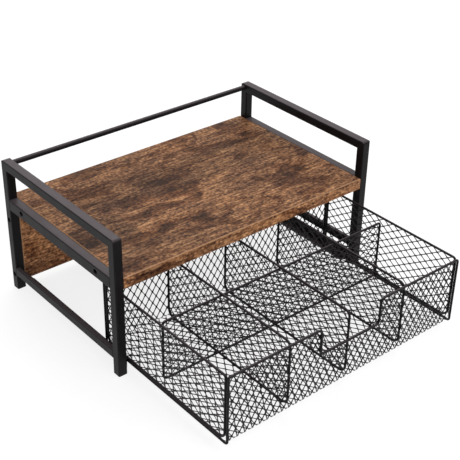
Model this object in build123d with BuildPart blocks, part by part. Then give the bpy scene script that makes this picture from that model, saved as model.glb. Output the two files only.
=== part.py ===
from build123d import *
from math import hypot, radians, sin, tan
import os

# Table stand of square steel tube with a wood laminate board and a pull-out
# drawer of bent wire and expanded metal for tea bags.
# X runs to the right, Y to the rear, Z up. The origin lies on the table under
# the middle of the stand's four feet. The drawer is pulled out.

# Stand, outside sizes
stand_width = 400.0
stand_depth = 244.0
stand_height = 187.0

# Square tube of the legs and rails
tube = 12.0
tube_wall = 1.5
tube_corner = 1.5
frame_corner = 4.0  # rounding of the two upper outer corners of each side frame

# Lower and rear members
middle_rail_height = 15.0
middle_rail_drop = 0.5  # middle rail's underside below the board's
bar_width = 6.0
bar_height = 12.0
bar_base = 21.0
bar_edge = 1.5
crossbar_diameter = 7.0

# Feet
foot_thickness = 2.0
plug_length = 10.0
plug_play = 0.2

# Laminate board and back panel
board_thickness = 15.0
board_base = 120.0
bevel = 1.0
panel_thickness = 12.0
panel_base = 12.0

# Socket screws that hold the board and the back panel between the frames
screw_diameter = 4.0
screw_length = 18.0
screw_head = 7.0
screw_head_height = 2.6
socket_across = 3.0
socket_depth = 1.4
access_play = 0.4  # added to the head's diameter for the hole in the outer wall
shank_play = 0.3  # added to the shank's diameter for the holes it passes
board_screw_spread = 82.0
panel_screw_heights = (21.0, 103.0)

# Runners under the drawer's skids and guides over its rim
sheet = 1.5
runner_base = 6.7
runner_height = 15.3
runner_reach = 12.0
runner_front_gap = 3.0  # behind the front of the legs
runner_nose = (10.5, 15.0)  # ledge cut back at the front, across and along
runner_tail_height = 5.0  # rear end, low enough to pass under the back panel
guide_length = 196.0
guide_clearance = 1.0
guide_flange = 7.5
guide_screw_diameter = 3.0
guide_screw_head = 5.6
guide_screw_head_height = 1.8
guide_screw_length = 11.0
guide_screw_spread = 50.0

# Drawer of round rod and expanded metal
rod = 3.0
side_play = 5.6  # from the drawer's side to the stand's inner face
drawer_depth = 228.0
travel = 176.5
rim_height = 101.0
skid_height = 10.0
notch_half = 47.0
notch_depth = 35.0
cross_setback = 122.5
cross_end_play = 4.9
mesh_thickness = 1.0
mesh_border = 2.0
mesh_strand = 2.0
mesh_cell = (45.0, 30.0)  # long and short diagonals
least_gap = 12.0  # smaller cut cells at a sheet's edge stay filled
seat = 0.15  # between a rod and the sheet it holds
cross_seat = 0.1  # between two crossing rods

# Rods, screws and screw holes are drawn with twelve sides.
sides = 12

# Bend radii at the rods' centre lines
skid_bend = 3.5
rim_bend = 3.5
notch_top_bend = 7.0
notch_bottom_bend = 6.0
side_top_bend = 3.0
side_bottom_bend = 10.0
divider_top_bend = 7.5
divider_bottom_bend = 10.0
cross_top_bend = 4.0
cross_bottom_bend = 6.0

# Places that follow from the sizes
inner_half = stand_width / 2 - tube
frame_x = (stand_width - tube) / 2
leg_y = (stand_depth - tube) / 2
leg_gap = stand_depth - 2 * tube
bore = tube - 2 * tube_wall
rail_z = stand_height - tube / 2
board_middle = board_base + board_thickness / 2
panel_y = stand_depth / 2 - panel_thickness / 2
screw_seat = inner_half + tube_wall

front_y = -stand_depth / 2 + rod / 2 - travel
rear_y = front_y + drawer_depth
side_x = inner_half - side_play - rod / 2
notch_z = rim_height - notch_depth
skid_top = skid_height + rod / 2
floor_z = skid_top + seat
inner_base = floor_z + mesh_thickness + seat + rod / 2
front_sheet = front_y + rod / 2 + seat
rear_sheet = rear_y - rod / 2 - seat
inner_front = front_sheet + mesh_thickness + seat + rod / 2
inner_rear = rear_sheet - mesh_thickness - seat - rod / 2
sheet_base = floor_z + mesh_thickness + cross_seat
cross_y = front_y + cross_setback
cross_half = side_x - mesh_thickness / 2 - cross_end_play - rod / 2
cross_top = rim_height - rod - cross_seat
cross_base = inner_base + rod + cross_seat
guide_x = side_x
guide_base = rim_height + rod / 2 + guide_clearance
guide_screw_x = guide_x + sheet / 2 + (guide_flange - sheet) / 2
runner_length = stand_depth - 2 * runner_front_gap


def save(piece, name):
    # Drawn about the stand's middle, then moved to the middle of stand and open drawer together.
    placed = Pos(0, travel / 2, 0) * piece.part
    placed.label = name
    export_step(placed, f"parts/{name}.step")


def mirrored(piece):
    with BuildPart() as twin:
        mirror(piece.part, about=Plane.YZ)
    return twin


def save_pair(left, name):
    save(left, f"left_{name}")
    save(mirrored(left), f"right_{name}")


def tube_section(width, height):
    # Closed hollow section with rounded edges, drawn into the open sketch.
    RectangleRounded(width, height, tube_corner)
    Rectangle(width - 2 * tube_wall, height - 2 * tube_wall, mode=Mode.SUBTRACT)


def screw(diameter, length, head, head_height):
    # Screw with a hexagon socket in its head, its seat at the origin and its shank down.
    with BuildPart() as piece:
        with BuildSketch():
            RegularPolygon(head / 2, sides)
        extrude(amount=head_height)
        with BuildSketch():
            RegularPolygon(diameter / 2, sides)
        extrude(amount=-length)
        with BuildSketch(Plane.XY.offset(head_height)):
            RegularPolygon(socket_across / 2, 6, major_radius=False)
        extrude(amount=-socket_depth, mode=Mode.SUBTRACT)
    return piece.part


def drill_side_tube(places):
    # Screw holes through the left tube: a wide one in its outer wall, a close one in its inner wall.
    with BuildPart() as drill:
        with BuildSketch(Plane.YZ.offset(-stand_width / 2)):
            with Locations(*places):
                RegularPolygon((screw_head + access_play) / 2, sides)
        extrude(amount=tube / 2)
        with BuildSketch(Plane.YZ.offset(-frame_x)):
            with Locations(*places):
                RegularPolygon((screw_diameter + shank_play) / 2, sides)
        extrude(amount=tube / 2)
    return drill.part


def drill_board_ends(places):
    # Pilot holes in both ends of a board.
    with BuildPart() as drill:
        for side in (-1, 1):
            with BuildSketch(Plane.YZ.offset(side * inner_half)):
                with Locations(*places):
                    RegularPolygon((screw_diameter + shank_play) / 2, sides)
            extrude(amount=-side * screw_length)
    return drill.part


def side_screws(places):
    # Screws on both sides, each head on the inner wall of its tube.
    shape = screw(screw_diameter, screw_length, screw_head, screw_head_height)
    with BuildPart() as screws:
        for side in (-1, 1):
            for y, z in places:
                seat_plane = Plane((side * screw_seat, y, z), x_dir=(0, 1, 0), z_dir=(side, 0, 0))
                add(seat_plane * shape)
    return screws


def bent(corners, bends):
    # Points of a centre line whose corners are rounded by two chords each. A bend of 0 stays sharp.
    points = [Vector(*corner) for corner in corners]
    line = []
    for i, bend in enumerate(bends):
        corner = points[i]
        before = (points[i - 1] - corner).normalized()
        after = (points[(i + 1) % len(points)] - corner).normalized()
        if bend == 0:
            line.append(corner)
            continue
        half_angle = radians(before.get_angle(after) / 2)
        inward = (before + after).normalized()
        line.append(corner + before * (bend / tan(half_angle)))
        line.append(corner + inward * (bend / sin(half_angle) - bend))
        line.append(corner + after * (bend / tan(half_angle)))
    return [tuple(point) for point in line]


def rod_along(plane, line):
    # Rod whose centre line is the line drawn in the plane.
    with BuildPart() as wire:
        with BuildLine(plane) as path:
            Polyline(*line)
        with BuildSketch(Plane(path.line @ 0, z_dir=path.line % 0)):
            RegularPolygon(rod / 2, sides)
        sweep(path=path.wire(), transition=Transition.RIGHT)
    return wire


def rod_loop(plane, corners, bends):
    # Closed loop of rod, begun in the middle of its last side.
    start = tuple((Vector(*corners[0]) + Vector(*corners[-1])) / 2)
    return rod_along(plane, [start, *bent(corners, bends), start])


def outline_of(corners, bends, inset):
    # Sheet outline through the corners, drawn in by the inset.
    with BuildSketch() as outline:
        Polygon(*bent(corners, bends), align=None)
        if inset > 0:
            offset(amount=-inset, kind=Kind.INTERSECTION)
    return outline.sketch


def mesh_sheet(plane, outline, cell):
    # Flat sheet of expanded metal: staggered diamond gaps that fit the outline, inside a plain
    # border. The cell is a gap's pitch along and across the sketch.
    gaps = []
    for part_outline in outline.faces():
        with BuildSketch() as field:
            add(part_outline)
            offset(amount=-mesh_border, kind=Kind.INTERSECTION)
        area = field.sketch.bounding_box()
        columns = max(1, round(area.size.X / cell[0]))
        rows = max(1, round(area.size.Y / cell[1]))
        pitch_x, pitch_y = area.size.X / columns, area.size.Y / rows
        share = 1 - mesh_strand * hypot(pitch_x, pitch_y) / (pitch_x * pitch_y)
        long, short = share * pitch_x / 2, share * pitch_y / 2
        with BuildSketch() as pattern:
            with Locations(area.center()):
                for more in (0, 1):
                    with GridLocations(pitch_x, pitch_y, columns + more, rows + more):
                        Polygon((long, 0), (0, short), (-long, 0), (0, -short), align=None)
            add(field.sketch, mode=Mode.INTERSECT)
        gaps += pattern.faces().filter_by(lambda gap: gap.area > least_gap)
    with BuildPart() as net:
        with BuildSketch(plane):
            add(outline)
            add(gaps, mode=Mode.SUBTRACT)
        extrude(amount=mesh_thickness)
    return net


os.makedirs("parts", exist_ok=True)

# Side frames. The outline rounds the two upper corners where leg and rail are mitred.
with BuildSketch(Plane.YZ) as frame_outline:
    with Locations((0, stand_height / 2)):
        Rectangle(stand_depth, stand_height)
    fillet(frame_outline.vertices().group_by(Axis.Z)[-1], frame_corner)

board_screw_places = [(-board_screw_spread, board_middle), (board_screw_spread, board_middle)]
panel_screw_places = [(leg_y, z) for z in panel_screw_heights]

for end, way in (("front", -1), ("rear", 1)):
    mitre = Plane((0, way * stand_depth / 2, stand_height), z_dir=(0, -way, 1))
    with BuildPart() as leg:
        with BuildSketch(Plane.XY.offset(foot_thickness)):
            with Locations((-frame_x, way * leg_y)):
                tube_section(tube, tube)
        extrude(amount=stand_height - foot_thickness)
        split(bisect_by=mitre, keep=Keep.BOTTOM)
        extrude(frame_outline.sketch, amount=stand_width, both=True, mode=Mode.INTERSECT)
        if end == "rear":
            add(drill_side_tube(panel_screw_places), mode=Mode.SUBTRACT)
    save_pair(leg, f"{end}_leg")

with BuildPart() as top_rail:
    with BuildSketch(Plane.XZ.offset(-stand_depth / 2)):
        with Locations((-frame_x, rail_z)):
            tube_section(tube, tube)
    extrude(amount=stand_depth)
    for way in (-1, 1):
        mitre = Plane((0, way * stand_depth / 2, stand_height), z_dir=(0, -way, 1))
        split(bisect_by=mitre, keep=Keep.TOP)
    extrude(frame_outline.sketch, amount=stand_width, both=True, mode=Mode.INTERSECT)
save_pair(top_rail, "top_rail")

with BuildPart() as middle_rail:
    with BuildSketch(Plane.XZ.offset(-leg_gap / 2)):
        with Locations((-frame_x, board_base - middle_rail_drop + middle_rail_height / 2)):
            tube_section(tube, middle_rail_height)
    extrude(amount=leg_gap)
    add(drill_side_tube(board_screw_places), mode=Mode.SUBTRACT)
save_pair(middle_rail, "middle_rail")

with BuildPart() as bottom_rail:
    with BuildSketch(Plane.XZ.offset(-leg_gap / 2)):
        with Locations((-(stand_width - bar_width) / 2, bar_base + bar_height / 2)):
            RectangleRounded(bar_width, bar_height, bar_edge)
    extrude(amount=leg_gap)
save_pair(bottom_rail, "bottom_rail")

# Round bar between the two frames at the upper rear corners
with BuildPart() as rear_crossbar:
    with BuildSketch(Plane.YZ.offset(-inner_half)):
        with Locations((leg_y, rail_z)):
            Circle(crossbar_diameter / 2)
    extrude(amount=2 * inner_half)
save(rear_crossbar, "rear_crossbar")

with BuildPart() as foot_plugs:
    with BuildSketch():
        with GridLocations(2 * frame_x, 2 * leg_y, 2, 2):
            RectangleRounded(tube, tube, tube_corner)
    extrude(amount=foot_thickness)
    with BuildSketch(Plane.XY.offset(foot_thickness)):
        with GridLocations(2 * frame_x, 2 * leg_y, 2, 2):
            Rectangle(bore - 2 * plug_play, bore - 2 * plug_play)
    extrude(amount=plug_length)
save(foot_plugs, "foot_plugs")

# Board level with the middle rails, bevelled along its front and end edges
with BuildPart() as top_board:
    with BuildSketch(Plane.XY.offset(board_base)):
        Rectangle(2 * inner_half, stand_depth)
    extrude(amount=board_thickness)
    upper = top_board.faces().sort_by(Axis.Z)[-1].edges()
    chamfer(upper.sort_by(Axis.Y)[:1] + upper.filter_by(Axis.Y), bevel)
    add(drill_board_ends(board_screw_places), mode=Mode.SUBTRACT)
    with BuildSketch(Plane.XY.offset(board_base)):
        with GridLocations(2 * guide_screw_x, 2 * guide_screw_spread, 2, 2):
            RegularPolygon((guide_screw_diameter + shank_play) / 2, sides)
    extrude(amount=guide_screw_length - sheet, mode=Mode.SUBTRACT)
save(top_board, "top_board")

with BuildPart() as back_panel:
    with BuildSketch(Plane.XY.offset(panel_base)):
        with Locations((0, panel_y)):
            Rectangle(2 * inner_half, panel_thickness)
    extrude(amount=board_base - panel_base)
    front = back_panel.faces().sort_by(Axis.Y)[0].edges()
    chamfer(front.filter_by(Axis.Z), bevel)
    add(drill_board_ends(panel_screw_places), mode=Mode.SUBTRACT)
save(back_panel, "back_panel")

save(side_screws(board_screw_places), "board_screws")
save(side_screws(panel_screw_places), "panel_screws")

# Runner: an angle on the legs' inner faces whose ledge carries a skid of the drawer
runner_front = -stand_depth / 2 + runner_front_gap
runner_rear = runner_front + runner_length
ledge_rear = stand_depth / 2 - panel_thickness - 0.3
ledge_x = -inner_half + runner_reach
with BuildPart() as runner:
    with BuildSketch(Plane.YZ.offset(-inner_half)):
        with BuildLine():
            Polyline(
                (runner_front, runner_base),
                (runner_front, runner_base + runner_height),
                (ledge_rear, runner_base + runner_height),
                (ledge_rear, runner_base + runner_tail_height),
                (runner_rear, runner_base + runner_tail_height),
                (runner_rear, runner_base),
                close=True,
            )
        make_face()
    extrude(amount=sheet)
    with BuildSketch(Plane.XY.offset(runner_base)):
        with BuildLine():
            Polyline(
                (-inner_half, runner_front),
                (ledge_x - runner_nose[0], runner_front),
                (ledge_x, runner_front + runner_nose[1]),
                (ledge_x, ledge_rear),
                (-inner_half, ledge_rear),
                close=True,
            )
        make_face()
    extrude(amount=sheet)
save_pair(runner, "runner")

# Guide: an angle under the board that keeps the drawer's rim down when it is pulled out
with BuildPart() as guide:
    with BuildSketch(Plane.XZ.offset(-guide_length / 2)):
        with Locations((-guide_x, (guide_base + board_base) / 2)):
            Rectangle(sheet, board_base - guide_base)
        with Locations((-guide_x + sheet / 2, board_base)):
            Rectangle(guide_flange, sheet, align=(Align.MAX, Align.MAX))
    extrude(amount=guide_length)
    with BuildSketch(Plane.XY.offset(board_base)):
        with GridLocations(2 * guide_screw_x, 2 * guide_screw_spread, 2, 2):
            RegularPolygon((guide_screw_diameter + shank_play) / 2, sides)
    extrude(amount=-sheet, mode=Mode.SUBTRACT)
save_pair(guide, "guide")

with BuildPart() as guide_screws:
    shape = screw(
        guide_screw_diameter, guide_screw_length, guide_screw_head, guide_screw_head_height
    )
    for x in (-guide_screw_x, guide_screw_x):
        for y in (-guide_screw_spread, guide_screw_spread):
            add(Plane((x, y, board_base - sheet), z_dir=(0, 0, -1)) * shape)
save(guide_screws, "guide_screws")

# Drawer, outer rod: one bent wire makes both skids, the front uprights and the notched rim.
rim_line = [
    (-side_x, rim_height),
    (-notch_half, rim_height),
    (-notch_half, notch_z),
    (notch_half, notch_z),
    (notch_half, rim_height),
    (side_x, rim_height),
]
half_bends = [rim_bend, notch_top_bend, notch_bottom_bend]
rim_bends = half_bends + half_bends[::-1]
skid_end = rear_y + rod / 2
front_corners = [(x, front_y, z) for x, z in rim_line]
front_corners = [
    (-side_x, skid_end, skid_height),
    (-side_x, front_y, skid_height),
    *front_corners,
    (side_x, front_y, skid_height),
    (side_x, skid_end, skid_height),
]
front_wire = rod_along(Plane.XY, bent(front_corners, [0, skid_bend, *rim_bends, skid_bend, 0]))
save(front_wire, "front_wire")

# Rear rod, standing on the skids' ends
rear_line = [
    (-side_x, skid_top + cross_seat),
    (-side_x, rim_height),
    (side_x, rim_height),
    (side_x, skid_top + cross_seat),
]
rear_wire = rod_along(Plane.XZ.offset(-rear_y), bent(rear_line, [0, rim_bend, rim_bend, 0]))
save(rear_wire, "rear_wire")

# Closed loops at the sides and between the compartments, with the sheets that fill them
side_corners = [
    (inner_front, inner_base),
    (inner_rear, inner_base),
    (inner_rear, rim_height),
    (inner_front, rim_height),
]
side_bends = [side_bottom_bend, side_bottom_bend, side_top_bend, side_top_bend]
divider_bends = [divider_bottom_bend, divider_bottom_bend, divider_top_bend, divider_top_bend]
fill_inset = rod / 2 + seat

save_pair(rod_loop(Plane.YZ.offset(-side_x), side_corners, side_bends), "side_wire")
side_outline = outline_of(side_corners, side_bends, fill_inset)
side_plane = Plane.YZ.offset(-side_x - mesh_thickness / 2)
save_pair(mesh_sheet(side_plane, side_outline, mesh_cell), "side_mesh")

with BuildSketch() as divider_halves:
    add(outline_of(side_corners, divider_bends, fill_inset))
    with Locations((cross_y, rim_height / 2)):
        Rectangle(rod + 2 * seat, 2 * rim_height, mode=Mode.SUBTRACT)
for name, x in (("left", -side_x / 2), ("centre", 0.0), ("right", side_x / 2)):
    divider = rod_loop(Plane.YZ.offset(x), side_corners, divider_bends)
    save(divider, f"{name}_divider_wire")
    divider_plane = Plane.YZ.offset(x - mesh_thickness / 2)
    halves = mesh_sheet(divider_plane, divider_halves.sketch, mesh_cell)
    save(halves, f"{name}_divider_mesh")

cross_corners = [
    (-cross_half, cross_base),
    (cross_half, cross_base),
    (cross_half, cross_top),
    (-cross_half, cross_top),
]
cross_bends = [cross_bottom_bend, cross_bottom_bend, cross_top_bend, cross_top_bend]
save(rod_loop(Plane.XZ.offset(-cross_y), cross_corners, cross_bends), "cross_divider_wire")
cross_outline = outline_of(cross_corners, cross_bends, fill_inset)
cross_plane = Plane.XZ.offset(-cross_y - mesh_thickness / 2)
save(mesh_sheet(cross_plane, cross_outline, mesh_cell), "cross_divider_mesh")

# Front, floor and rear sheets between the outer rods and the loops.
# Corners next to the skids' upward bends are snipped off, and the gaps stand on end.
upright_cell = mesh_cell[::-1]
sheet_corners = [(-side_x, sheet_base), *rim_line, (side_x, sheet_base)]
with BuildSketch() as front_outline:
    add(outline_of(sheet_corners, [0, *rim_bends, 0], 0))
    chamfer(front_outline.vertices().group_by(Axis.Y)[0], skid_bend)
front_plane = Plane.XZ.offset(-front_sheet - mesh_thickness)
save(mesh_sheet(front_plane, front_outline.sketch, upright_cell), "front_mesh")

with BuildSketch() as floor_outline:
    with Locations((0, front_sheet)):
        Rectangle(2 * side_x, rear_sheet - front_sheet, align=(Align.CENTER, Align.MIN))
    chamfer(floor_outline.vertices().group_by(Axis.Y)[0], skid_bend)
floor_mesh = mesh_sheet(Plane.XY.offset(floor_z), floor_outline.sketch, upright_cell)
save(floor_mesh, "floor_mesh")

rear_corners = [
    (-side_x, sheet_base),
    (-side_x, rim_height),
    (side_x, rim_height),
    (side_x, sheet_base),
]
rear_outline = outline_of(rear_corners, [0, rim_bend, rim_bend, 0], 0)
save(mesh_sheet(Plane.XZ.offset(-rear_sheet), rear_outline, upright_cell), "rear_mesh")
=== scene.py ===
import bpy
import numpy as np
from mathutils import Matrix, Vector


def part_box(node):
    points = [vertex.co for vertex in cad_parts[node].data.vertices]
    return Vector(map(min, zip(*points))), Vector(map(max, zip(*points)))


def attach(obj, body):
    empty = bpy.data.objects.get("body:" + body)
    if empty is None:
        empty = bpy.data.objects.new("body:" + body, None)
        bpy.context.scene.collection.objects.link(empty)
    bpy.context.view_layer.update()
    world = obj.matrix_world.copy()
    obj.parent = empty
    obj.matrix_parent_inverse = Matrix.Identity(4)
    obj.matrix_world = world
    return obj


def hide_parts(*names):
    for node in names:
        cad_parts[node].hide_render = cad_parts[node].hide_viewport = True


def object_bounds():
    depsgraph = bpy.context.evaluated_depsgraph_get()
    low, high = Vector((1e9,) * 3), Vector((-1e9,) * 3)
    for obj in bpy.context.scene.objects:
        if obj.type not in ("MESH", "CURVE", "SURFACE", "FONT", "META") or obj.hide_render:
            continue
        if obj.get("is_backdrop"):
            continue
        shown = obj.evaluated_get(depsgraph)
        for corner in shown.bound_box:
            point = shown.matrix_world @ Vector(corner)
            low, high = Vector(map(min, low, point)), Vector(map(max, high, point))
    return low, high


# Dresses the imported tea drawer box: sizes in millimetres, turned to metres when a mesh is made.
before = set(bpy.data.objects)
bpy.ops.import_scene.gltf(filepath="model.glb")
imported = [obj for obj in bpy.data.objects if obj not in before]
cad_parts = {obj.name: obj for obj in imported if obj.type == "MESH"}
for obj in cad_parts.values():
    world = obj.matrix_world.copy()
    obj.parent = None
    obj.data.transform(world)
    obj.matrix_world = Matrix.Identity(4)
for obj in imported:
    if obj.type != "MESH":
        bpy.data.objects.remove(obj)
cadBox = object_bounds()
mm = 0.001


# Small helpers


def toLinear(hexColour):
    # sRGB hex to the linear colour that shaders work in
    srgb = np.array([int(hexColour[i : i + 2], 16) for i in (1, 3, 5)]) / 255
    linear = np.where(srgb <= 0.04045, srgb / 12.92, ((srgb + 0.055) / 1.055) ** 2.4)
    return (*linear.tolist(), 1.0)


def addNode(tree, kind, inputs=None, links=None, **settings):
    # one node with its settings, its plain input values and the sockets that feed it
    node = tree.nodes.new(kind)
    for name, value in settings.items():
        setattr(node, name, value)
    for socket, value in (inputs or {}).items():
        node.inputs[socket].default_value = value
    for socket, source in (links or {}).items():
        tree.links.new(source, node.inputs[socket])
    return node


def newMaterial(name):
    material = bpy.data.materials.new(name)
    material.use_nodes = True
    tree = material.node_tree
    tree.nodes.clear()
    output = addNode(tree, "ShaderNodeOutputMaterial")
    return material, tree, output


def mixColours(tree, kind, first, second, share):
    # share is a plain number or a socket
    node = addNode(
        tree, "ShaderNodeMix", links={6: first, 7: second}, data_type="RGBA", blend_type=kind
    )
    if isinstance(share, float):
        node.inputs[0].default_value = share
    else:
        tree.links.new(share, node.inputs[0])
    return node.outputs[2]


def rampColours(tree, source, stops):
    # colours run between the stops (place from 0 to 1, sRGB hex)
    node = addNode(tree, "ShaderNodeValToRGB", links={"Fac": source})
    elements = node.color_ramp.elements
    while len(elements) < len(stops):
        elements.new(0.5)
    for element, (position, colour) in zip(elements, stops):
        element.position = position
        element.color = toLinear(colour)
    return node.outputs["Color"]


def plainColour(tree, colour):
    node = addNode(tree, "ShaderNodeRGB")
    node.outputs[0].default_value = colour
    return node.outputs[0]


def product(tree, first, second):
    # second is a plain number or a socket
    node = addNode(tree, "ShaderNodeMath", links={0: first}, operation="MULTIPLY")
    if isinstance(second, float):
        node.inputs[1].default_value = second
    else:
        tree.links.new(second, node.inputs[1])
    return node.outputs[0]


def faceMask(tree, direction, low, high):
    # 0 to 1 as a face's normal . direction runs from low to high
    normal = addNode(tree, "ShaderNodeNewGeometry").outputs["Normal"]
    toward = addNode(
        tree, "ShaderNodeVectorMath", {1: direction}, {0: normal}, operation="DOT_PRODUCT"
    )
    mask = addNode(
        tree,
        "ShaderNodeMapRange",
        {"From Min": low, "From Max": high},
        {"Value": toward.outputs["Value"]},
    )
    return mask.outputs["Result"]


def edgeMask(tree, width, noise):
    # 1 where the normal rounded over width millimetres leaves the face's own, broken up by noise
    normal = addNode(tree, "ShaderNodeNewGeometry").outputs["Normal"]
    rounded = addNode(tree, "ShaderNodeBevel", {"Radius": width * mm}, samples=4)
    agree = addNode(
        tree,
        "ShaderNodeVectorMath",
        links={0: normal, 1: rounded.outputs["Normal"]},
        operation="DOT_PRODUCT",
    )
    paleEdge = addNode(
        tree,
        "ShaderNodeMapRange",
        {"From Min": 0.995, "From Max": 0.9},
        {"Value": agree.outputs["Value"]},
    )
    broken = addNode(
        tree, "ShaderNodeMapRange", {"From Min": 0.42, "From Max": 0.58}, {"Value": noise}
    )
    return product(tree, paleEdge.outputs["Result"], broken.outputs["Result"])


def makePiece(name, points, faces, body, material, nodes, smooth=True):
    # points in millimetres and faces go into one mesh that stands for the named CAD nodes
    mesh = bpy.data.meshes.new(name)
    mesh.from_pydata((np.asarray(points) * mm).tolist(), [], faces)
    if smooth:
        mesh.shade_smooth()
    else:
        mesh.shade_flat()
    mesh.materials.append(material)
    mesh.update()
    piece = bpy.data.objects.new(name, mesh)
    bpy.context.scene.collection.objects.link(piece)
    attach(piece, body)
    if nodes:
        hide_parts(*nodes)
    return piece


def outward(points, faces):
    # turns all the faces round where the closed shape's signed volume is negative
    first = points[[f[0] for f in faces]]
    second = points[[f[1] for f in faces]]
    third = points[[f[2] for f in faces]]
    last = points[[f[-1] for f in faces]]
    volume = np.einsum("ij,ij->", first, np.cross(second, third))
    volume += np.einsum("ij,ij->", first, np.cross(third, last))
    return faces if volume > 0 else [f[::-1] for f in faces]


def gridFaces(rows, columns, wrapRows, wrapColumns):
    # quads between neighbours of a rows x columns grid of points, joined up where it wraps
    i = np.arange(rows if wrapRows else rows - 1)[:, None]
    j = np.arange(columns if wrapColumns else columns - 1)[None, :]
    nextI, nextJ = (i + 1) % rows, (j + 1) % columns
    quads = np.stack(
        [i * columns + j, nextI * columns + j, nextI * columns + nextJ, i * columns + nextJ], -1
    )
    return quads.reshape(-1, 4).tolist()


# Centre lines and tubes


def bentLine(corners, bends, steps=9, hold=0.6):
    # Straight runs joined by circular bends. At a corner whose runs leave along a and b with
    # half the angle h between them, the bend of radius r turns about corner + r/sin(h) * unit(a+b),
    # from corner + a*r/tan(h) to corner + b*r/tan(h). A point just outside each end of the bend
    # keeps the long runs' shading flat.
    corners = np.asarray(corners, float)
    line = []
    for i, bend in enumerate(bends):
        corner = corners[i]
        if not bend:
            line.append(corner[None])
            continue
        a = corners[i - 1] - corner
        b = corners[(i + 1) % len(corners)] - corner
        a, b = a / np.linalg.norm(a), b / np.linalg.norm(b)
        half = np.arccos(np.clip(a @ b, -1, 1)) / 2
        inward = (a + b) / np.linalg.norm(a + b)
        centre = corner + inward * bend / np.sin(half)
        start = corner + a * bend / np.tan(half)
        stop = corner + b * bend / np.tan(half)
        turn = np.linspace(0, np.pi - 2 * half, steps)[:, None]
        arm = start - centre
        arc = centre + arm * np.cos(turn) - a * bend * np.sin(turn)
        line += [(start + a * hold)[None], arc, (stop + b * hold)[None]]
    return np.concatenate(line)


def tube(line, radius, around, closed, chamfer=0.4):
    # Each point of the line carries a circle: point + radius * (cos(p) * side + sin(p) * up),
    # side = unit(tangent x (1,1,1)) and up = tangent x side. Free ends get a chamfer and a cap.
    if closed:
        tangent = np.roll(line, -1, 0) - np.roll(line, 1, 0)
        scale = np.full(len(line), radius)
    else:
        tangent = np.gradient(line, axis=0)
        first, last = line[0], line[-1]
        inFirst = first + (line[1] - first) / np.linalg.norm(line[1] - first) * chamfer
        inLast = last + (line[-2] - last) / np.linalg.norm(line[-2] - last) * chamfer
        line = np.concatenate([[first, inFirst], line[1:-1], [inLast, last]])
        tangent = np.concatenate([tangent[:1], tangent, tangent[-1:]])
        scale = np.full(len(line), radius)
        scale[[0, -1]] = radius - chamfer
    tangent = tangent / np.linalg.norm(tangent, axis=1, keepdims=True)
    side = np.cross(tangent, np.ones(3))
    side = side / np.linalg.norm(side, axis=1, keepdims=True)
    up = np.cross(tangent, side)
    p = np.linspace(0, 2 * np.pi, around, endpoint=False)[None, :, None]
    rings = np.cos(p) * side[:, None] + np.sin(p) * up[:, None]
    points = (line[:, None] + scale[:, None, None] * rings).reshape(-1, 3)
    faces = gridFaces(len(line), around, closed, True)
    if not closed:
        faces.append(list(range(around))[::-1])
        faces.append(list(range(len(points) - around, len(points))))
    return points, outward(points, faces)


# Expanded metal


def insideOutline(points, outline):
    # even-odd test of points against a closed 2-D outline
    a, b = outline, np.roll(outline, -1, 0)
    x, y = points[:, :1], points[:, 1:]
    crosses = (a[:, 1] > y) != (b[:, 1] > y)
    rise = np.where(b[:, 1] == a[:, 1], 1.0, b[:, 1] - a[:, 1])
    at = a[:, 0] + (y - a[:, 1]) * (b[:, 0] - a[:, 0]) / rise
    return (crosses & (x < at)).sum(1) % 2 == 1


def nearestOnOutline(points, outline):
    # closest point of the outline's edges: a + clip((p-a).(b-a)/|b-a|^2, 0, 1) * (b-a)
    a, edge = outline, np.roll(outline, -1, 0) - outline
    length = np.maximum((edge**2).sum(1), 1e-12)
    share = np.clip(((points[:, None] - a) * edge).sum(2) / length, 0, 1)
    foot = a + share[..., None] * edge
    best = ((points[:, None] - foot) ** 2).sum(2).argmin(1)
    return foot[np.arange(len(points)), best]


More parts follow.
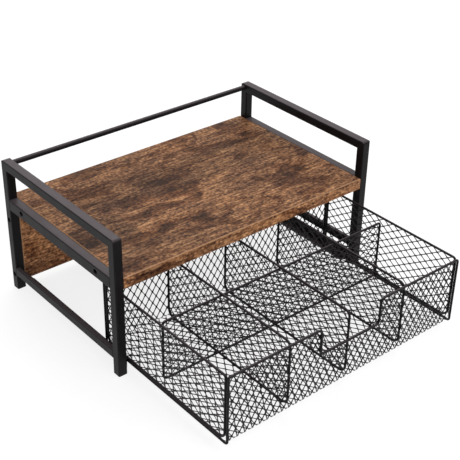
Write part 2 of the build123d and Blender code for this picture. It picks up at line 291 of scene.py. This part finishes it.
def expandedMetal(outline, pitch, strand, lift):
    # One cell is the rhombus between four knuckles, with the gap inside it. Around the cell, t
    # runs over twelve points of the rhombus; the gap repeats them at a smaller size, and less at
    # its four corners, which rounds them. The gap's two long edges stand lift above and below
    # the sheet, as the strands of stretched metal do. Points past the outline move onto it.
    low, high = outline.min(0), outline.max(0)
    middle, half = (low + high) / 2, (high - low) / 2
    count = np.ceil(half / pitch).astype(int) + 1
    i = np.arange(-count[0], count[0] + 1)
    j = np.arange(-count[1], count[1] + 1)
    lattice = np.stack(np.meshgrid(i, j, indexing="ij"), -1).reshape(-1, 2)
    centres = middle + np.concatenate([lattice, lattice + 0.5]) * pitch
    corner = np.array([[0.5, 0], [0, 0.5], [-0.5, 0], [0, -0.5]]) * pitch
    share = np.array([0, 1 / 3, 2 / 3])[None, :, None]
    onward = np.roll(corner, -1, 0)
    rhombus = (corner[:, None] * (1 - share) + onward[:, None] * share).reshape(-1, 2)
    reach = pitch[0] * pitch[1] / 2 / np.hypot(*pitch)
    size = 1 - strand / 2 / reach
    blunt = np.where(np.arange(12) % 3 == 0, 0.93, 1.0)[:, None]
    gap = rhombus * size * blunt
    flat = np.stack([centres[:, None] + rhombus, centres[:, None] + gap], 2)
    tilt = gap[:, 1] if pitch[1] < pitch[0] else gap[:, 0]
    height = np.zeros(flat.shape[:3])
    height[:, :, 1] = lift * tilt / np.abs(tilt).max()
    keep = insideOutline(flat[:, :, 0].reshape(-1, 2), outline).reshape(len(centres), 12).any(1)
    flat, height = flat[keep].reshape(-1, 2), height[keep].reshape(-1)
    out = ~insideOutline(flat, outline)
    flat[out] = nearestOnOutline(flat[out], outline)
    points = np.concatenate([flat, height[:, None]], 1)
    cell = np.arange(keep.sum())[:, None] * 24
    t = np.arange(12)[None, :]
    after = (t + 1) % 12
    quads = np.stack([cell + 2 * t, cell + 2 * after, cell + 2 * after + 1, cell + 2 * t + 1], -1)
    quads = quads.reshape(-1, 4)
    # neighbours share their knuckles and edges
    _, kept, same = np.unique(
        np.round(points, 3), axis=0, return_index=True, return_inverse=True
    )
    quads = same.reshape(-1)[quads]
    points = points[kept]
    p = points[quads]
    area = np.linalg.norm(np.cross(p[:, 2] - p[:, 0], p[:, 3] - p[:, 1]), axis=1)
    ordered = np.sort(quads, 1)
    sound = (area > 0.02) & (np.diff(ordered, axis=1) > 0).all(1)
    return points, quads[sound]


# Materials


def powderCoat(name, look):
    # Powder-coated steel: an even black plastic skin with a fine orange peel. Flat faces stay
    # dark with a faint cloudiness, upward faces carry a painted sheen, and edges are rubbed paler.
    material, tree, output = newMaterial(name)
    place = addNode(tree, "ShaderNodeTexCoord").outputs["Object"]
    # orange peel is about 0.3 mm across; drawn at 0.9 mm so that it shows
    peel = addNode(
        tree,
        "ShaderNodeTexNoise",
        {"Scale": 1000 / look["peel"], "Detail": 3.0},
        {"Vector": place},
    )
    cloud = addNode(
        tree,
        "ShaderNodeTexNoise",
        {"Scale": 1000 / look["cloud"], "Detail": 4.0},
        {"Vector": place},
    )
    tone = rampColours(tree, cloud.outputs["Fac"], [(0.3, look["dark"]), (0.7, look["light"])])
    # a painted sheen lightens the upward faces, and edges are rubbed paler
    dust = product(tree, faceMask(tree, (0, 0, 1), *look["dustFacing"]), look["dustShare"])
    tone = mixColours(tree, "MIX", tone, plainColour(tree, toLinear(look["dust"])), dust)
    edges = edgeMask(tree, look["edgeWidth"], cloud.outputs["Fac"])
    rubbed = product(tree, edges, look["edgeShare"])
    tone = mixColours(tree, "MIX", tone, plainColour(tree, toLinear(look["edge"])), rubbed)
    rough = addNode(
        tree,
        "ShaderNodeMapRange",
        {"From Min": 0.3, "From Max": 0.7, "To Min": look["rough"][0], "To Max": look["rough"][1]},
        {"Value": cloud.outputs["Fac"]},
    )
    bump = addNode(
        tree,
        "ShaderNodeBump",
        {"Strength": look["bump"], "Distance": 0.0001},
        {"Height": peel.outputs["Fac"]},
    )
    coat = addNode(
        tree,
        "ShaderNodeBsdfPrincipled",
        {"IOR": 1.5, "Specular IOR Level": look["gloss"]},
        {
            "Base Color": tone,
            "Roughness": rough.outputs["Result"],
            "Normal": bump.outputs["Normal"],
        },
    )
    tree.links.new(coat.outputs["BSDF"], output.inputs["Surface"])
    return material


def woodLaminate(name, look, edges):
    # Printed melamine laminate of old brown wood: planks cut square, short dark specks and
    # fibres along X, warm and grey patches, dark knots, and a painted highlight along each bevelled
    # edge.
    material, tree, output = newMaterial(name)
    place = addNode(tree, "ShaderNodeTexCoord").outputs["Object"]

    def grain(size, detail, shift=(0, 0, 0), bend=0.0):
        # noise whose blots are as long and wide as size says, in millimetres
        scale = [1000 / s for s in size]
        moved = addNode(
            tree, "ShaderNodeMapping", {"Scale": scale, "Location": shift}, {"Vector": place}
        )
        inputs = {"Scale": 1.0, "Detail": detail, "Distortion": bend}
        return addNode(tree, "ShaderNodeTexNoise", inputs, {"Vector": moved.outputs["Vector"]})

    def blend(kind, first, second, share):
        return mixColours(tree, kind, first, second, share)

    def ramp(source, stops):
        return rampColours(tree, source, stops)

    # each printed plank has its own tint, cut square at the ends
    moved = addNode(
        tree,
        "ShaderNodeMapping",
        {"Location": [v * mm for v in look["plankShift"]]},
        {"Vector": place},
    )
    planks = addNode(
        tree,
        "ShaderNodeTexBrick",
        {
            "Scale": 1.0,
            "Color1": toLinear(look["plankTones"][0]),
            "Color2": toLinear(look["plankTones"][1]),
            "Mortar": toLinear(look["plankTones"][1]),
            "Mortar Size": 0.0,
            "Brick Width": look["plank"][0] * mm,
            "Row Height": look["plank"][1] * mm,
        },
        {"Vector": moved.outputs["Vector"]},
        offset=look["plankStagger"],
    )
    patch = grain(look["patch"], 4.0, (3.1, 1.7, 0.4), 0.4)
    knot = grain(look["knot"], 5.0, look["knotShift"], 1.2)
    fibre = grain(look["fibre"], 3.0, (7.7, 0.6, 1.1))
    # lightness = sum of share * noise over the streaks, fibres and specks
    lightness = None
    for size, detail, share in (
        (look["streak"], 5.0, look["streakShare"]),
        (look["fibre"], 4.0, look["fibreShare"]),
        (look["speck"], 4.0, look["speckShare"]),
    ):
        part = product(tree, grain(size, detail, (size[0], 5.2, 2.0), 0.3).outputs["Fac"], share)
        if lightness is None:
            lightness = part
        else:
            total = addNode(tree, "ShaderNodeMath", links={0: lightness, 1: part}, operation="ADD")
            lightness = total.outputs[0]
    colour = ramp(lightness, look["tones"])
    colour = blend("MULTIPLY", colour, planks.outputs["Color"], look["plankShare"])
    patches = ramp(patch.outputs["Fac"], look["patchTones"])
    colour = blend("MULTIPLY", colour, patches, look["patchShare"])
    knots = ramp(knot.outputs["Fac"], look["knotTones"])
    colour = blend("MULTIPLY", colour, knots, look["knotShare"])
    # the upright front faces are brightened with painted light: colour * front
    front = plainColour(tree, (look["front"], look["front"], look["front"], 1.0))
    colour = blend("MULTIPLY", colour, front, faceMask(tree, (0, -1, 0), *look["frontFacing"]))
    # painted highlight on the bevel: where the sum of |x|, y and z with these signs passes the
    # edge's own value
    parts = addNode(tree, "ShaderNodeSeparateXYZ", links={"Vector": place})
    flip = addNode(tree, "ShaderNodeMath", links={0: parts.outputs["X"]}, operation="ABSOLUTE")
    spread = addNode(
        tree,
        "ShaderNodeCombineXYZ",
        links={"X": flip.outputs[0], "Y": parts.outputs["Y"], "Z": parts.outputs["Z"]},
    )
    paleEdge = None
    for direction, limit in edges:
        along = addNode(
            tree,
            "ShaderNodeVectorMath",
            {1: direction},
            {0: spread.outputs["Vector"]},
            operation="DOT_PRODUCT",
        )
        edge = addNode(
            tree,
            "ShaderNodeMath",
            {1: limit * mm},
            {0: along.outputs["Value"]},
            operation="GREATER_THAN",
        )
        if paleEdge is not None:
            both = {0: paleEdge.outputs[0], 1: edge.outputs[0]}
            edge = addNode(tree, "ShaderNodeMath", links=both, operation="MAXIMUM")
        paleEdge = edge
    share = product(tree, paleEdge.outputs[0], look["edgeShare"])
    colour = blend("MIX", colour, plainColour(tree, toLinear(look["edge"])), share)
    rough = addNode(
        tree,
        "ShaderNodeMapRange",
        {"From Min": 0.3, "From Max": 0.7, "To Min": look["rough"][0], "To Max": look["rough"][1]},
        {"Value": fibre.outputs["Fac"]},
    )
    bump = addNode(
        tree,
        "ShaderNodeBump",
        {"Strength": look["bump"], "Distance": 0.0002},
        {"Height": fibre.outputs["Fac"]},
    )
    surface = addNode(
        tree,
        "ShaderNodeBsdfPrincipled",
        {"IOR": 1.5, "Specular IOR Level": look["gloss"]},
        {
            "Base Color": colour,
            "Roughness": rough.outputs["Result"],
            "Normal": bump.outputs["Normal"],
        },
    )
    tree.links.new(surface.outputs["BSDF"], output.inputs["Surface"])
    return material


frameLook = {
    "dark": "#0e0c0d",
    "light": "#161315",
    # painted sheen: upward faces are mixed toward this grey to stand in for their reflection of the
    # bright surround
    "dust": "#5e5457",
    "dustShare": 0.55,
    "dustFacing": (0.55, 0.95),
    "edge": "#4a4446",
    "edgeWidth": 0.9,
    "edgeShare": 0.35,
    "rough": (0.36, 0.46),
    "gloss": 0.1,
    "peel": 0.9,
    "cloud": 22.0,
    "bump": 0.35,
}
# the wires carry a weaker painted sheen on their upward sides
wireLook = {**frameLook, "light": "#151315", "dustShare": 0.35, "cloud": 12.0}
plasticLook = {**frameLook, "rough": (0.5, 0.6), "bump": 0.2}
screwLook = {
    **frameLook,
    "dark": "#0c0c0c",
    "light": "#121212",
    "rough": (0.3, 0.4),
    "bump": 0.1,
}
boardLook = {
    "plank": (119.0, 62.0),
    "plankShift": (-4.0, 33.75, 0.0),
    "plankStagger": 0.5,
    "plankTones": ("#ffffff", "#b2b4b8"),
    "plankShare": 0.9,
    "patch": (90.0, 40.0, 40.0),
    "streak": (70.0, 4.0, 4.0),
    "fibre": (9.0, 2.0, 2.0),
    "speck": (4.0, 3.2, 3.2),
    "knot": (60.0, 34.0, 34.0),
    "knotShift": (0.0, 0.0, 0.0),
    "streakShare": 0.28,
    "fibreShare": 0.3,
    "speckShare": 0.42,
    "tones": [
        (0.36, "#2c1c14"),
        (0.44, "#5c402f"),
        (0.5, "#835f45"),
        (0.56, "#a67d5a"),
        (0.64, "#cda67c"),
    ],
    "patchTones": [(0.35, "#b7a9a4"), (0.5, "#f4e8dd"), (0.65, "#ffefdc")],
    "patchShare": 0.8,
    "knotTones": [(0.3, "#5a4438"), (0.42, "#b09a8c"), (0.5, "#ffffff")],
    "knotShare": 0.8,
    # painted light: faces turned to the front are brightened by this factor
    "front": 1.25,
    "frontFacing": (0.8, 0.95),
    # colour of the painted highlight along the bevelled edges
    "edge": "#b48a68",
    "edgeShare": 0.6,
    "rough": (0.5, 0.62),
    "gloss": 0.08,
    "bump": 0.25,
}
blackCoat = powderCoat("satinPowderCoatedSteel", frameLook)
wireCoat = powderCoat("dippedBlackWire", wireLook)
blackPlastic = powderCoat("mouldedPolythene", plasticLook)
blackSteel = powderCoat("blackenedScrewSteel", screwLook)
boardLow, boardHigh = (np.array(corner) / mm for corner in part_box("top_board"))
panelLow, panelHigh = (np.array(corner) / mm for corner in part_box("back_panel"))
# a little past the 1 mm bevels
bevelReach = 1.1
boardEdges = [
    ((0, -1, 1), boardHigh[2] - boardLow[1] - bevelReach),
    ((1, 0, 1), boardHigh[2] + boardHigh[0] - bevelReach),
]
panelEdges = [((1, -1, 0), panelHigh[0] - panelLow[1] - bevelReach)]
boardWood = woodLaminate("rusticOakLaminate", boardLook, boardEdges)
panelWood = woodLaminate(
    "rusticOakLaminatePanel",
    # painted light: the panel's front face is brightened by a larger factor
    {**boardLook, "knotShift": (2.0, 1.0, 3.0), "front": 1.9},
    panelEdges,
)

cadLooks = {
    "top_board": boardWood,
    "back_panel": panelWood,
    "foot_plugs": blackPlastic,
}
for name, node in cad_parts.items():
    node.data.materials.clear()
    node.data.materials.append(cadLooks.get(name, blackCoat))
print("materials set on", len(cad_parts), "nodes")


# The drawer's rods

wire = {
    "rod": 3.0,
    "around": 18,
    "skidBend": 3.5,
    "rimBend": 3.5,
    "notchTopBend": 7.0,
    "notchBottomBend": 6.0,
    "notchHalf": 47.0,
    "notchDepth": 35.0,
}
loopBends = {
    "left_side_wire": (10.0, 3.0),
    "right_side_wire": (10.0, 3.0),
    "left_divider_wire": (10.0, 7.5),
    "centre_divider_wire": (10.0, 7.5),
    "right_divider_wire": (10.0, 7.5),
    "cross_divider_wire": (6.0, 4.0),
}


def centreBox(node):
    # box of a node's centre line, in millimetres
    low, high = (np.array(corner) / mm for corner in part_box(node))
    return low + wire["rod"] / 2, high - wire["rod"] / 2


def camel(node):
    first, *rest = node.split("_")
    return first + "".join(word.capitalize() for word in rest)


loopLines = {}
for node, (lower, upper) in loopBends.items():
    low, high = centreBox(node)
    if high[0] - low[0] > 10:
        corners = [(low[0], low[2]), (high[0], low[2]), (high[0], high[2]), (low[0], high[2])]
        flat = bentLine(corners, (lower, lower, upper, upper))
        line = np.stack([flat[:, 0], np.full(len(flat), low[1]), flat[:, 1]], 1)
    else:
        corners = [(low[1], low[2]), (high[1], low[2]), (high[1], high[2]), (low[1], high[2])]
        flat = bentLine(corners, (lower, lower, upper, upper))
        line = np.stack([np.full(len(flat), low[0]), flat[:, 0], flat[:, 1]], 1)
    loopLines[node] = flat
    points, faces = tube(line, wire["rod"] / 2, wire["around"], True)
    makePiece(camel(node), points, faces, "drawer", wireCoat, [node])

low, high = centreBox("front_wire")
side, rim, skid, front, end = high[0], high[2], low[2], low[1], high[1] + wire["rod"] / 2
notch, notchHalf = rim - wire["notchDepth"], wire["notchHalf"]
rimCorners = [
    (-side, rim),
    (-notchHalf, rim),
    (-notchHalf, notch),
    (notchHalf, notch),
    (notchHalf, rim),
    (side, rim),
]
rimBends = [wire["rimBend"], wire["notchTopBend"], wire["notchBottomBend"]]
rimBends = rimBends + rimBends[::-1]
corners = [(-side, end, skid), (-side, front, skid)]
corners += [(x, front, z) for x, z in rimCorners]
corners += [(side, front, skid), (side, end, skid)]
line = bentLine(corners, [0, wire["skidBend"], *rimBends, wire["skidBend"], 0])
points, faces = tube(line, wire["rod"] / 2, wire["around"], False)
makePiece("frontWire", points, faces, "drawer", wireCoat, ["front_wire"])

low, high = centreBox("rear_wire")
foot = low[2] - wire["rod"] / 2
corners = [(low[0], low[1], foot), (low[0], low[1], high[2])]
corners += [(high[0], low[1], high[2]), (high[0], low[1], foot)]
line = bentLine(corners, [0, wire["rimBend"], wire["rimBend"], 0])
points, faces = tube(line, wire["rod"] / 2, wire["around"], False)
makePiece("rearWire", points, faces, "drawer", wireCoat, ["rear_wire"])
print("rods made")


# The drawer's sheets of expanded metal

mesh = {
    "long": 16.4,
    "short": 10.8,
    "strand": 1.0,
    "thickness": 0.6,
    "lift": 0.2,
}


def makeSheet(node, outline, axis, upright):
    # the sheet lies square to the axis (0, 1 or 2), in the middle of its CAD node
    pitch = np.array([mesh["long"], mesh["short"]])
    if upright:
        pitch = pitch[::-1]
    flat, quads = expandedMetal(outline, pitch, mesh["strand"], mesh["lift"])
    low, high = (np.array(corner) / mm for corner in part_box(node))
    middle = (low[axis] + high[axis]) / 2
    points = np.zeros((len(flat), 3))
    others = [i for i in range(3) if i != axis]
    points[:, others] = flat[:, :2]
    points[:, axis] = middle + flat[:, 2]
    piece = makePiece(
        camel(node), points, quads.tolist(), "drawer", wireCoat, [node], smooth=False
    )
    thicken = piece.modifiers.new("thickness", "SOLIDIFY")
    thicken.thickness = mesh["thickness"] * mm
    thicken.offset = 0


for node, flat in loopLines.items():
    name = node.replace("wire", "mesh")
    makeSheet(name, flat, 1 if node.startswith("cross") else 0, False)

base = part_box("front_mesh")[0][2] / mm
snip = wire["skidBend"]
frontCorners = [(-side + snip, base), (-side, base + snip), *rimCorners]
frontCorners += [(side, base + snip), (side - snip, base)]
makeSheet("front_mesh", bentLine(frontCorners, [0, 0, *rimBends, 0, 0]), 1, True)
low, high = (np.array(corner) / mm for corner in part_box("floor_mesh"))
floorCorners = [(low[0] + snip, low[1]), (high[0] - snip, low[1]), (high[0], low[1] + snip)]
floorCorners += [(high[0], high[1]), (low[0], high[1]), (low[0], low[1] + snip)]
makeSheet("floor_mesh", bentLine(floorCorners, [0] * 6), 2, True)
rearCorners = [(-side, base), (-side, rim), (side, rim), (side, base)]
makeSheet("rear_mesh", bentLine(rearCorners, [0, wire["rimBend"], wire["rimBend"], 0]), 1, True)
print("expanded metal made")


# Screws

screws = {
    "board_screws": {"head": 7.0, "height": 2.6, "shank": 4.0, "length": 18.0, "socket": 3.0},
    "panel_screws": {"head": 7.0, "height": 2.6, "shank": 4.0, "length": 18.0, "socket": 3.0},
    "guide_screws": {"head": 5.6, "height": 1.8, "shank": 3.0, "length": 11.0, "socket": 2.4},
}
# chamfers of the head, the shank's tip and the socket's mouth, the depths of the socket's wall and
# of its middle as shares of the head, and the small radius that closes each end
screwEdge = {
    "head": 0.5,
    "tip": 0.5,
    "tipRise": 0.6,
    "mouth": 0.15,
    "wall": 0.55,
    "middle": 0.65,
    "closing": 0.01,
}


def screwShape(size, around=36):
    # Rings of radius r(a) at height h, turned about the axis. The socket's rings are hexagons:
    # r(a) = across / 2 / cos(a mod 60deg - 30deg).
    a = np.linspace(0, 2 * np.pi, around, endpoint=False)
    hexagon = size["socket"] / 2 / np.cos(np.mod(a, np.pi / 3) - np.pi / 6)
    one = np.ones(around)
    head, shank, top = size["head"] / 2, size["shank"] / 2, size["height"]
    edge = screwEdge
    rings = [
        (one * edge["closing"], -size["length"]),
        (one * (shank - edge["tip"]), -size["length"]),
        (one * shank, -size["length"] + edge["tipRise"]),
        (one * shank, 0.0),
        (one * head, 0.0),
        (one * head, top - edge["head"]),
        (one * (head - edge["head"]), top),
        (hexagon + edge["mouth"], top),
        (hexagon, top - edge["mouth"]),
        (hexagon, top - size["height"] * edge["wall"]),
        (one * edge["closing"], top - size["height"] * edge["middle"]),
    ]
    radius = np.stack([r for r, _ in rings])
    height = np.array([h for _, h in rings])[:, None] * np.ones(around)
    points = np.stack([radius * np.cos(a), radius * np.sin(a), height], -1).reshape(-1, 3)
    faces = gridFaces(len(rings), around, False, True)
    faces.append(list(range(around)))
    faces.append(list(range(len(points) - around, len(points)))[::-1])
    return points, outward(points, faces)


def screwSet(node, places):
    # places: (seat, turn) where the turn's columns carry the shape's x, y and z
    shape, faces = screwShape(screws[node])
    points = np.concatenate([shape @ turn.T + seat for seat, turn in places])
    every = [[i + k * len(shape) for i in f] for k in range(len(places)) for f in faces]
    makePiece(camel(node), points, every, "stand", blackSteel, [node], smooth=False)


def sideTurn(way):
    return np.array([[0, 0, way], [1, 0, 0], [0, way, 0]], float)


boxLow, boxHigh = (np.array(corner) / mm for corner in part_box("board_screws"))
panelLow, panelHigh = (np.array(corner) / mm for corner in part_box("panel_screws"))
guideLow, guideHigh = (np.array(corner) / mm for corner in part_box("guide_screws"))
seatX = boxHigh[0] - screws["board_screws"]["height"]
headReach = screws["board_screws"]["head"] / 2
boardPlaces = [
    (np.array([way * seatX, y, (boxLow[2] + boxHigh[2]) / 2]), sideTurn(way))
    for way in (-1, 1)
    for y in (boxLow[1] + headReach, boxHigh[1] - headReach)
]
panelPlaces = [
    (np.array([way * seatX, (panelLow[1] + panelHigh[1]) / 2, z]), sideTurn(way))
    for way in (-1, 1)
    for z in (panelLow[2] + headReach, panelHigh[2] - headReach)
]
guideReach = screws["guide_screws"]["head"] / 2
down = np.diag([1.0, -1.0, -1.0])
guidePlaces = [
    (np.array([x, y, guideLow[2] + screws["guide_screws"]["height"]]), down)
    for x in (guideLow[0] + guideReach, guideHigh[0] - guideReach)
    for y in (guideLow[1] + guideReach, guideHigh[1] - guideReach)
]
screwSet("board_screws", boardPlaces)
screwSet("panel_screws", panelPlaces)
screwSet("guide_screws", guidePlaces)
print("screws made")


# Studio

studio = {
    "floor": "#f2f2f2",
    "ambient": 0.6,
    "glow": 0.8,
    "seenFloor": (0.22, 0.22, 0.22, 1),
    "floorReach": 8000.0,
    "lamps": {
        "behind": {"place": (0.7, 1.3, 1.7), "aim": (0, 0, 0.08), "size": 1.6, "power": 24.0},
        "left": {"place": (-1.5, -1.2, 1.6), "aim": (0, 0, 0.08), "size": 1.2, "power": 12.0},
        "front": {"place": (0.4, -1.9, 1.4), "aim": (0, 0, 0.08), "size": 1.2, "power": 20.0},
        "right": {"place": (1.8, 0.2, 1.2), "aim": (0, 0, 0.08), "size": 1.2, "power": 6.0},
    },
}
standMiddle = np.array([0, (boardLow[1] + boardHigh[1]) / 2 * mm, 0])
camera = {
    "lens": 83.51,
    "place": (-0.7361, -0.9497, 0.8000),
    "yaw": 40.292,
    "pitch": 31.309,
    "roll": 1.12,
    "sensor": 36.0,
}

# Pale studio paper: camera, glossy and transmission rays see it glow white with the part's
# shadow on it, and all other rays meet plain paper.
floorPaper, tree, output = newMaterial("paleStudioPaper")
ray = addNode(tree, "ShaderNodeLightPath")
seen = addNode(
    tree,
    "ShaderNodeMath",
    links={0: ray.outputs["Is Camera Ray"], 1: ray.outputs["Is Glossy Ray"]},
    operation="MAXIMUM",
)
seen = addNode(
    tree,
    "ShaderNodeMath",
    links={0: seen.outputs[0], 1: ray.outputs["Is Transmission Ray"]},
    operation="MAXIMUM",
)
plain = addNode(tree, "ShaderNodeBsdfDiffuse", {"Color": toLinear(studio["floor"])})
shade = addNode(tree, "ShaderNodeBsdfDiffuse", {"Color": studio["seenFloor"]})
glow = addNode(tree, "ShaderNodeEmission", {"Color": (1, 1, 1, 1), "Strength": studio["glow"]})
both = addNode(tree, "ShaderNodeAddShader", links={0: shade.outputs[0], 1: glow.outputs[0]})
mixed = addNode(
    tree,
    "ShaderNodeMixShader",
    links={"Fac": seen.outputs[0], 1: plain.outputs[0], 2: both.outputs[0]},
)
tree.links.new(mixed.outputs[0], output.inputs["Surface"])
floorPoints = np.array([(-1, -1, 0), (1, -1, 0), (1, 1, 0), (-1, 1, 0)]) * studio["floorReach"]
floorMesh = bpy.data.meshes.new("floor")
floorMesh.from_pydata((floorPoints * mm).tolist(), [], [(0, 1, 2, 3)])
floorMesh.materials.append(floorPaper)
floor = bpy.data.objects.new("floor", floorMesh)
bpy.context.scene.collection.objects.link(floor)
floor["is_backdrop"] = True

world = bpy.data.worlds.new("studio")
bpy.context.scene.world = world
world.use_nodes = True
tree = world.node_tree
tree.nodes.clear()
ray = addNode(tree, "ShaderNodeLightPath")
seen = addNode(
    tree,
    "ShaderNodeMath",
    links={0: ray.outputs["Is Camera Ray"], 1: ray.outputs["Is Transmission Ray"]},
    operation="MAXIMUM",
)
strength = addNode(
    tree,
    "ShaderNodeMapRange",
    {"To Min": studio["ambient"], "To Max": 1.0},
    {"Value": seen.outputs[0]},
)
sky = addNode(
    tree, "ShaderNodeBackground", {"Color": (1, 1, 1, 1)}, {"Strength": strength.outputs["Result"]}
)
output = addNode(tree, "ShaderNodeOutputWorld", links={"Surface": sky.outputs[0]})

for name, lamp in studio["lamps"].items():
    light = bpy.data.lights.new(name, "AREA")
    light.size = lamp["size"]
    light.energy = lamp["power"]
    lampObject = bpy.data.objects.new(name, light)
    bpy.context.scene.collection.objects.link(lampObject)
    away = np.array(lamp["place"]) - np.array(lamp["aim"])
    away = away / np.linalg.norm(away)
    right = np.cross((0, 0.01, 1), away)
    right = right / np.linalg.norm(right)
    up = np.cross(away, right)
    turn = np.eye(4)
    turn[:3, :3] = np.stack([right, up, away], 1)
    turn[:3, 3] = standMiddle + lamp["place"]
    lampObject.matrix_world = Matrix(turn.tolist())

yaw, pitch, roll = np.radians([camera["yaw"], camera["pitch"], camera["roll"]])
forward = np.array([np.sin(yaw) * np.cos(pitch), np.cos(yaw) * np.cos(pitch), -np.sin(pitch)])
level = np.array([np.cos(yaw), -np.sin(yaw), 0.0])
upright = np.cross(level, forward)
turn = np.eye(4)
turn[:3, 0] = np.cos(roll) * level + np.sin(roll) * upright
turn[:3, 1] = -np.sin(roll) * level + np.cos(roll) * upright
turn[:3, 2] = -forward
turn[:3, 3] = standMiddle + camera["place"]
lensData = bpy.data.cameras.new("photoCamera")
lensData.lens = camera["lens"]
lensData.sensor_width = camera["sensor"]
photoCamera = bpy.data.objects.new("photoCamera", lensData)
bpy.context.scene.collection.objects.link(photoCamera)
photoCamera.matrix_world = Matrix(turn.tolist())
bpy.context.scene.camera = photoCamera
bpy.context.scene.view_settings.view_transform = "Standard"
print("studio set")

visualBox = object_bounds()
boxes = {"cad": cadBox, "visual": visualBox}
plain = {k: [[float(v) for v in corner] for corner in box] for k, box in boxes.items()}
